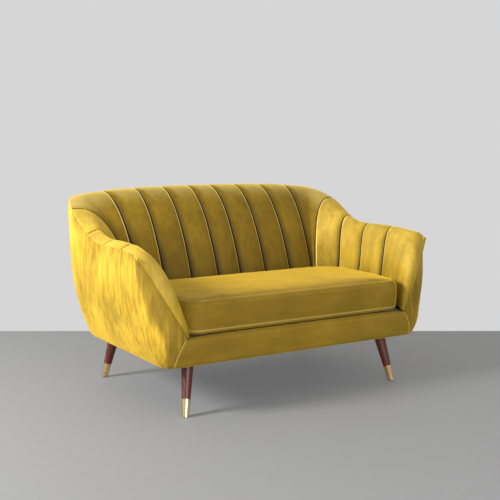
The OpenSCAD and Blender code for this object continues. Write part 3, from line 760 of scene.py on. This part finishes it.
# %% [markdown]
# The **bench cushion** is a foam block in a wadding wrap, in a boxed velvet cover. The cover
# is a little small for the block, so it bulges between the seams. A cloth simulation with
# pressure inside does that by itself: start from a slimmer box, remesh it evenly, inflate it,
# and limit how far any point may go. The seams are pressed in afterwards, because remeshing
# would rub them out.
# %% Cushion outline
CUSHION_LOW, CUSHION_SEAM, CROWN = 316.0, 444.0, 24.0
CUSHION_FRONT, CUSHION_REAR, CUSHION_HALF = -458.0, 73.0, 547.0
CUSHION_CENTRE = np.array([0, (CUSHION_FRONT + CUSHION_REAR) / 2])
NARROWING, FRONT_ROUND, SHOULDER_ROUND, REAR_ROUND = 40.0, 78.0, 150.0, 140.0


def fillet(a, b, c, radius, steps=10):
    """Points round the corner b, between the straight lines a-b and b-c."""
    a, b, c = (np.array(p, float) for p in (a, b, c))
    u, v = (a - b) / np.linalg.norm(a - b), (c - b) / np.linalg.norm(c - b)
    half = math.acos(float(u @ v)) / 2
    centre = b + (u + v) / np.linalg.norm(u + v) * radius / math.sin(half)
    start = b + u * radius / math.tan(half) - centre
    sweep = -np.sign(np.cross(u, v)) * (math.pi - 2 * half)
    turns = [sweep * i / steps for i in range(steps + 1)]
    spin = [np.array([[math.cos(w), -math.sin(w)], [math.sin(w), math.cos(w)]]) for w in turns]
    return [centre + turn @ start for turn in spin]


def cushion_outline(inset):
    """The cushion's plan, drawn in by inset: narrow in front, full width behind."""
    front = (CUSHION_HALF - NARROWING - inset, CUSHION_FRONT + inset)
    shoulder = (CUSHION_HALF - inset, CUSHION_FRONT + 168)
    rear = (CUSHION_HALF - inset, CUSHION_REAR - inset)
    right = fillet((0, front[1]), front, shoulder, FRONT_ROUND - inset / 2)
    right += fillet(front, shoulder, rear, SHOULDER_ROUND)
    right += fillet(shoulder, rear, (0, rear[1]), REAR_ROUND - inset)
    return np.array(right + [p * [-1, 1] for p in reversed(right)])


print("the cushion is", 2 * CUSHION_HALF, "by", CUSHION_REAR - CUSHION_FRONT, "mm")

# %% [markdown]
# The starting shape is a stack of outlines from the bottom to the top, rounded at both edges.
# The cloth's pressure is only a push outward, so the cap on each point's travel decides how
# full the cushion looks: less at the seams, more in the middle of each panel.
# %% Inflate the cover
def dense(line, spacing):
    """The same closed line with points at an even spacing."""
    closed = np.vstack([line, line[:1]])
    run = np.concatenate([[0], np.cumsum(np.linalg.norm(np.diff(closed, axis=0), axis=1))])
    count = int(run[-1] / spacing)
    at = np.linspace(0, run[-1], count, endpoint=False)
    return np.stack([np.interp(at, run, closed[:, c]) for c in range(2)], -1)


def ring_faces(count, rings):
    """The quads between rings of count points, each ring joined to the one above."""
    rows = np.arange(rings * count).reshape(rings, count)
    low, high = rows[:-1], rows[1:]
    quads = np.stack([low, np.roll(low, -1, 1), np.roll(high, -1, 1), high], -1)
    return [tuple(quad) for quad in quads.reshape(-1, 4).tolist()]


def cushion_start():
    """A slim closed box on the cushion's plan, before the simulation."""
    rings, line = [], dense(cushion_outline(5), 12)
    count = len(line)
    levels = [(0.0, 5), (5, 0), (60, 0), (116, 0), (122, 5)]
    for height, inset in levels:
        shrink = 1 - inset / 300
        ring = CUSHION_CENTRE + (line - CUSHION_CENTRE) * shrink
        rings.append(np.column_stack([ring, np.full(count, CUSHION_LOW + 2 + height)]))
    for step in range(1, 12):
        s = (1 - step / 12) ** 0.9
        ring = CUSHION_CENTRE + (line - CUSHION_CENTRE) * s
        z = CUSHION_LOW + 124 + (CROWN - 8) * (1 - s**3)
        rings.append(np.column_stack([ring, np.full(count, z)]))
    faces = ring_faces(count, len(rings))
    points = np.vstack(rings + [[[*CUSHION_CENTRE, CUSHION_LOW + 116 + CROWN]]])
    last = (len(rings) - 1) * count
    faces += [(last + i, last + (i + 1) % count, len(points) - 1) for i in range(count)]
    faces.append(tuple(reversed(range(count))))
    return points, faces


def mesh_points(mesh):
    co = np.empty(len(mesh.vertices) * 3)
    mesh.vertices.foreach_get("co", co)
    return co.reshape(-1, 3)


def apply_modifiers(piece):
    """Fixes what the modifiers show into the mesh."""
    graph = bpy.context.evaluated_depsgraph_get()
    shaped = bpy.data.meshes.new_from_object(piece.evaluated_get(graph))
    old = piece.data
    piece.modifiers.clear()
    piece.data = shaped
    bpy.data.meshes.remove(old)


def remeshed(piece, voxel):
    remesh = piece.modifiers.new("remesh", "REMESH")
    remesh.mode, remesh.voxel_size = "VOXEL", voxel
    apply_modifiers(piece)


def inflate(piece, cap_mm, frames=20):
    """Blows the piece up with cloth pressure; no point goes further than its cap."""
    remeshed(piece, 0.006)
    start = mesh_points(piece.data)
    cloth = piece.modifiers.new("cloth", "CLOTH")
    cloth.settings.use_pressure = True
    cloth.settings.uniform_pressure_force = 4.0
    cloth.settings.effector_weights.gravity = 0.0
    cloth.settings.quality = 5
    scene = bpy.context.scene
    for number in range(1, frames + 1):
        scene.frame_set(number)
    apply_modifiers(piece)
    scene.frame_set(1)
    moved = mesh_points(piece.data) - start
    length = np.linalg.norm(moved, axis=1, keepdims=True)
    cap = cap_mm(start * 1000)[:, None] / 1000
    eased = cap * np.tanh(length / np.maximum(cap, 1e-6))
    piece.data.vertices.foreach_set("co", (start + moved / np.maximum(length, 1e-9) * eased).ravel())
    piece.data.update()


def outline_gap(points, line):
    """Distance in plan from each point to the nearest point of a line."""
    best = np.full(len(points), 1e9)
    for p in line:
        best = np.minimum(best, np.hypot(points[:, 0] - p[0], points[:, 1] - p[1]))
    return best


def bench_cushion():
    points, faces = cushion_start()
    mesh = bpy.data.meshes.new("bench_cushion_velvet")
    mesh.from_pydata((points / 1000).tolist(), [], faces)
    piece = in_scene("bench_cushion_velvet", mesh)
    inflate(piece, lambda p: np.where(p[:, 2] > CUSHION_SEAM - 12, 7.0, 4.0))
    soften = piece.modifiers.new("soften", "SMOOTH")
    soften.iterations = 4
    apply_modifiers(piece)
    finer = piece.modifiers.new("finer", "SUBSURF")
    finer.levels = finer.render_levels = 1
    apply_modifiers(piece)
    shape_cushion(piece)
    piece.data.materials.clear()
    piece.data.materials.append(velvet_seat_painted_shade)
    piece.data.shade_smooth()
    settle(piece, "seat_cushion", ["cushion_top_cover", "cushion_boxing", "cushion_bottom_cover"])
    return piece


# %% [markdown]
# After the simulation the two **boxing seams** are pressed in. At the top seam the edge stands
# up as a narrow ridge with a valley under it, which is how a plain seam looks on velvet. The
# bottom seam is the same, but fainter. The last move keeps every point between the deck and
# the height of the crown.
# %% Press in the seams
TOP_SEAM, LOW_SEAM = 443.0, 330.0


def shape_cushion(piece):
    p = mesh_points(piece.data) * 1000
    line = dense(cushion_outline(0), 3)
    gap = outline_gap(p, line)
    edge = bell(gap, 16)
    out = unit(p[:, :2] - CUSHION_CENTRE)
    above_top, above_low = p[:, 2] - TOP_SEAM, p[:, 2] - LOW_SEAM
    pressed = 2.6 * bell(above_top, 3) - 4.2 * bell(above_top + 7, 4) - 2.4 * bell(above_low, 3.2)
    bulge = 5 * np.sin(math.pi * np.clip(above_low / 110, 0, 1))
    p[:, :2] += out * ((pressed + bulge) * edge)[:, None]
    lumps = 1.5 * ripple(p, 130, 31) + 0.8 * ripple(p, 48, 37)
    inside = np.clip(gap / 60, 0, 1)
    on_top = p[:, 2] > TOP_SEAM + 2
    p[:, 2] += np.where(on_top, lumps * (0.3 + 0.7 * inside), 0)
    p[:, 2] = np.clip(p[:, 2], CUSHION_LOW + 0.2, CUSHION_SEAM + CROWN + 8)
    piece.data.vertices.foreach_set("co", (p / 1000).ravel())
    above_top, above_low = p[:, 2] - TOP_SEAM, p[:, 2] - LOW_SEAM
    # Painted highlight on the ridge of each boxing seam, and painted shade in the valley under the top
    # seam.
    painted_seam_highlight = np.maximum(1.1 * bell(above_top - 1, 2.6), 0.5 * bell(above_low - 3, 2.2))
    nap = (painted_seam_highlight - 0.35 * bell(above_top + 6, 4)) * edge
    piece.data.attributes.new("nap", "FLOAT", "POINT").data.foreach_set("value", nap)
    piece.data.update()
    print("cushion:", len(p), "points,", p.min(0).round(1), "to", p.max(0).round(1), "mm")


bench_cushion()


# %% [markdown]
# Inside the cover are a **foam block** and a **fibre wrap**, and the back of the boxing has a
# **zip**: a tape with two rows of teeth on which the slider runs. None of them shows while the
# cushion lies in place, yet each is its own piece, so that the cover can be opened.
# %% Foam, fibre and zip
def stack(name, levels, line, **rest):
    """A closed piece from outlines at several heights: levels are (z, shrink in mm)."""
    count, rings, out = len(line), [], unit(line - CUSHION_CENTRE)
    for z, shrink in levels:
        rings.append(np.column_stack([line - out * shrink, np.full(count, z)]))
    faces = ring_faces(count, len(rings))
    faces.append(tuple(reversed(range(count))))
    faces.append(tuple(range((len(rings) - 1) * count, len(rings) * count)))
    return place(name, np.vstack(rings), faces, **rest)


inner_line = dense(cushion_outline(22), 8)
stack(
        "cushion_foam_block", [(322, 6), (325, 2), (330, 0), (424, 0), (430, 3), (433, 8)], inner_line,
        material=foam, body="seat_cushion", slot="foam", replaced=["cushion_foam"],
    )
stack(
        "cushion_fibre_wrap", [(433.5, 10), (435, 6), (437, 14), (440, 60), (443, 130)], inner_line,
        material=wadding, body="seat_cushion", slot="fibre", replaced=["cushion_fibre"],
    )


def zip_band():
    """The zip's tape, with teeth as a fine ripple along its middle."""
    low, high = box_mm("cushion_zip")
    x, z = crossed(np.linspace(low[0], high[0], 400), np.linspace(low[2], high[2], 25))
    from_middle = z - (low[2] + high[2]) / 2
    teeth = 0.7 * bell(from_middle, 1.8) * (0.5 + 0.5 * np.cos(x * 2 * math.pi / 3.0))
    y = high[1] - 0.9 + teeth
    face = np.stack([x, y, z], -1)
    lining = np.stack([x, y - teeth - 0.9, z], -1)
    return slab(
        "cushion_zip_tape", face, lining, material=zip_cloth, body="seat_cushion", slot="zip_tape",
        replaced=["cushion_zip"],
    )


zip_band()
nodes["zip_slider"].data.materials.clear()
nodes["zip_slider"].data.materials.append(zip_brass)
print("foam, fibre and zip are inside the cover")

# %% [markdown]
# Lift the cushion and the **deck** shows: a felt pad with a quilted face over crossed
# **webbing**. Under the frame a black **dust cover** is stapled to the rails. All are thin
# sheets, so each is a fine grid with its own gentle relief: quilting, the weave's sag, or the
# pull between staples.
# %% Deck, webbing and dust cover
def sheet_grid(low, high, step=8.0):
    nx, ny = (max(int((high[c] - low[c]) / step), 3) for c in (0, 1))
    along_x, along_y = np.linspace(low[0], high[0], nx), np.linspace(low[1], high[1], ny)
    return crossed(along_x, along_y)


def flat_sheet(name, x, y, z, thickness, **rest):
    face = np.stack([x, y, z], -1)
    return slab(name, face, face - [0, 0, thickness], **rest)


def deck():
    low, high = box_mm("seat_deck")
    x, y = sheet_grid(low, high, 6.0)
    y_front = np.where(np.abs(x) > 508, low[1] + 16, low[1])
    y = y_front + (y - low[1]) * (high[1] - y_front) / (high[1] - low[1])
    quilt = np.abs(np.sin(math.pi * (x + y) / 90)) * np.abs(np.sin(math.pi * (x - y) / 90))
    edge = np.minimum(np.minimum(x - low[0], high[0] - x), np.minimum(y - y_front, high[1] - y))
    z = high[2] - 3.5 + 2.8 * quilt**0.5 * np.clip(edge / 20, 0, 1)
    piece = flat_sheet(
        "seat_deck_felt", x, y, z, z.max() - low[2] - 2.5, material=deck_felt, body="sofa_body",
        slot="deck_pad", replaced=["seat_deck"],
    )
    return piece


def webbing(name, node, along, centres, half_width, ends, z_top):
    """Parallel straps; along is 0 for straps that run in x and 1 for y."""
    points, faces = [], []
    for centre in centres:
        u, v = crossed(np.linspace(*ends, 120), np.linspace(-half_width, half_width, 15))
        x, y = (u, centre + v) if along == 0 else (centre + v, u)
        selvedge = 0.5 * bell(half_width - np.abs(v), 2.5)
        face = np.stack([x, y, z_top - 0.6 + selvedge], -1)
        start = sum(len(p) for p in points)
        points += [face.reshape(-1, 3), (face - [0, 0, 1.1]).reshape(-1, 3)]
        part = slab_faces(*face.shape[:2])
        if along == 1:
            part = [tuple(reversed(f)) for f in part]
        faces += [tuple(i + start for i in reversed(f)) for f in part]
    return place(
        name, np.vstack(points), faces, material=jute, body="sofa_body", slot="webbing", replaced=[node]
    )


deck()
webbing("webbing_long", "seat_webbing", 1, (-350, -220, -70, 70, 220, 350), 30, (-415, 285), 301.8)
webbing("webbing_cross", "seat_webbing_cross", 0, (-290, -170, -50, 70), 30, (-588, 588), 303.8)


LEG_PLATES = [(465, -353), (-465, -353), (493, 243), (-493, 243)]


def dust_cover():
    """The cloth under the sofa, cut away round the four leg plates."""
    low, high = box_mm("dust_cover")
    x, y = sheet_grid(low, high, 7.0)
    pulls = np.abs(np.sin(x / 18)) * np.abs(np.sin(y / 18))
    lift = 0.35 * pulls + 0.3 * ripple(np.stack([x, y, 0 * x], -1), 60, 41)
    points = np.stack([x, y, high[2] - 0.7 - lift * 0.5], -1)
    n, m = x.shape
    keep = np.ones((n - 1, m - 1), bool)
    cx, cy = (x[:-1, :-1] + x[1:, 1:]) / 2, (y[:-1, :-1] + y[1:, 1:]) / 2
    for plate_x, plate_y in LEG_PLATES:
        keep &= ~((np.abs(cx - plate_x) < 50) & (np.abs(cy - plate_y) < 44))
    keep &= (np.abs(cx) < 552) | ((cy > -375) & (cy < 230))
    mesh = bmesh.new()
    rows = [[mesh.verts.new(Vector(points[i, j] / 1000)) for j in range(m)] for i in range(n)]
    for i in range(n - 1):
        for j in range(m - 1):
            if keep[i, j]:
                mesh.faces.new((rows[i][j], rows[i + 1][j], rows[i + 1][j + 1], rows[i][j + 1]))
    loose = [v for v in mesh.verts if not v.link_faces]
    bmesh.ops.delete(mesh, geom=loose, context="VERTS")
    area = sum(f.calc_area() for f in mesh.faces)
    data = bpy.data.meshes.new("dust_cover_cloth")
    mesh.to_mesh(data)
    mesh.free()
    data.materials.append(dust_cloth)
    piece = in_scene("dust_cover_cloth", data)
    thick = piece.modifiers.new("thickness", "SOLIDIFY")
    thick.thickness = 0.0006
    settle(piece, "sofa_body", ["dust_cover"])
    return piece


dust_cover()

# %% [markdown]
# The rest of the sofa is hard, and its CAD shapes are right already. Each node only takes the
# finish that its slot in the record names.
# %% Finish the hard parts
FINISHES = {
    "frame_wood": frame_wood, "leg_wood": leg_wood, "brass": brass, "zinc_steel": zinc,
    "glide": glide_plastic, "zip_metal": zip_brass,
}
painted = 0
for part in frame["record"]["subparts"]:
    finish = FINISHES.get(part["material_slot"])
    if finish:
        nodes[part["node"]].data.materials.clear()
        nodes[part["node"]].data.materials.append(finish)
        painted += 1
print(painted, "hard nodes finished")

# %% [markdown]
# A studio: a pale floor, a bright even surround, one broad light from the left for the sheen
# on the arm, and a large soft one in front that shows the legs. The floor has a faint satin
# unevenness, and a little light of its own, which stands for the light that bounces about a
# bright room and keeps the shadow under the sofa open.
# %% Floor and light
FLOOR_REACH, FLOOR_BEHIND = 14.0, 0.93


def floor():
    """A wide floor that ends a little behind the sofa, square to the camera."""
    material, tree, shader = new_tree("concrete_sealed_pale")
    grit = patterned(tree, "ShaderNodeTexNoise", 30, (1, 1, 1), Detail=6.0)
    tree.links.new(ramp(tree, grit.outputs[0], 0.2, 0.8, "#6E6E6E", "#727272"), shader.inputs["Base Color"])
    set_surface(shader, Roughness=0.75, Emission_Color=linear("#FFFFFF"), Emission_Strength=0.09)
    turn = math.radians(CAMERA_AZIMUTH)
    away, across = Vector((-math.sin(turn), math.cos(turn), 0)), Vector((math.cos(turn), math.sin(turn), 0))
    corners = [
        away * (FLOOR_BEHIND if far else -FLOOR_REACH) + across * side * FLOOR_REACH
        for far, side in ((0, -1), (0, 1), (1, 1), (1, -1))
    ]
    mesh = bpy.data.meshes.new("studio_floor")
    mesh.from_pydata([tuple(c) for c in corners], [], [(0, 1, 2, 3)])
    mesh.materials.append(material)
    in_scene("studio_floor", mesh)


def area_light(name, at, aim, size, watts, colour="#FFFFFF"):
    light = bpy.data.lights.new(name, "AREA")
    light.shape, light.size, light.energy = "DISK", size, watts
    light.color = linear(colour)[:3]
    lamp = in_scene(name, light)
    lamp.location = at
    lamp.rotation_euler = (Vector(aim) - Vector(at)).to_track_quat("-Z", "Y").to_euler()


floor()
area_light("key_left", (-4.0, 0.0, 2.3), (0, 0, 0.4), 1.2, 300)
area_light("front_fill", (-1.2, -4.6, 1.3), (0, 0, 0.3), 2.4, 110)
world = bpy.data.worlds.new("studio")
bpy.context.scene.world = world
world.use_nodes = True
world.node_tree.nodes["Background"].inputs[0].default_value = linear("#D6D6D6")
world.node_tree.nodes["Background"].inputs[1].default_value = 1.0
bpy.context.scene.view_settings.view_transform = "Standard"
print("two lights and a bright surround")
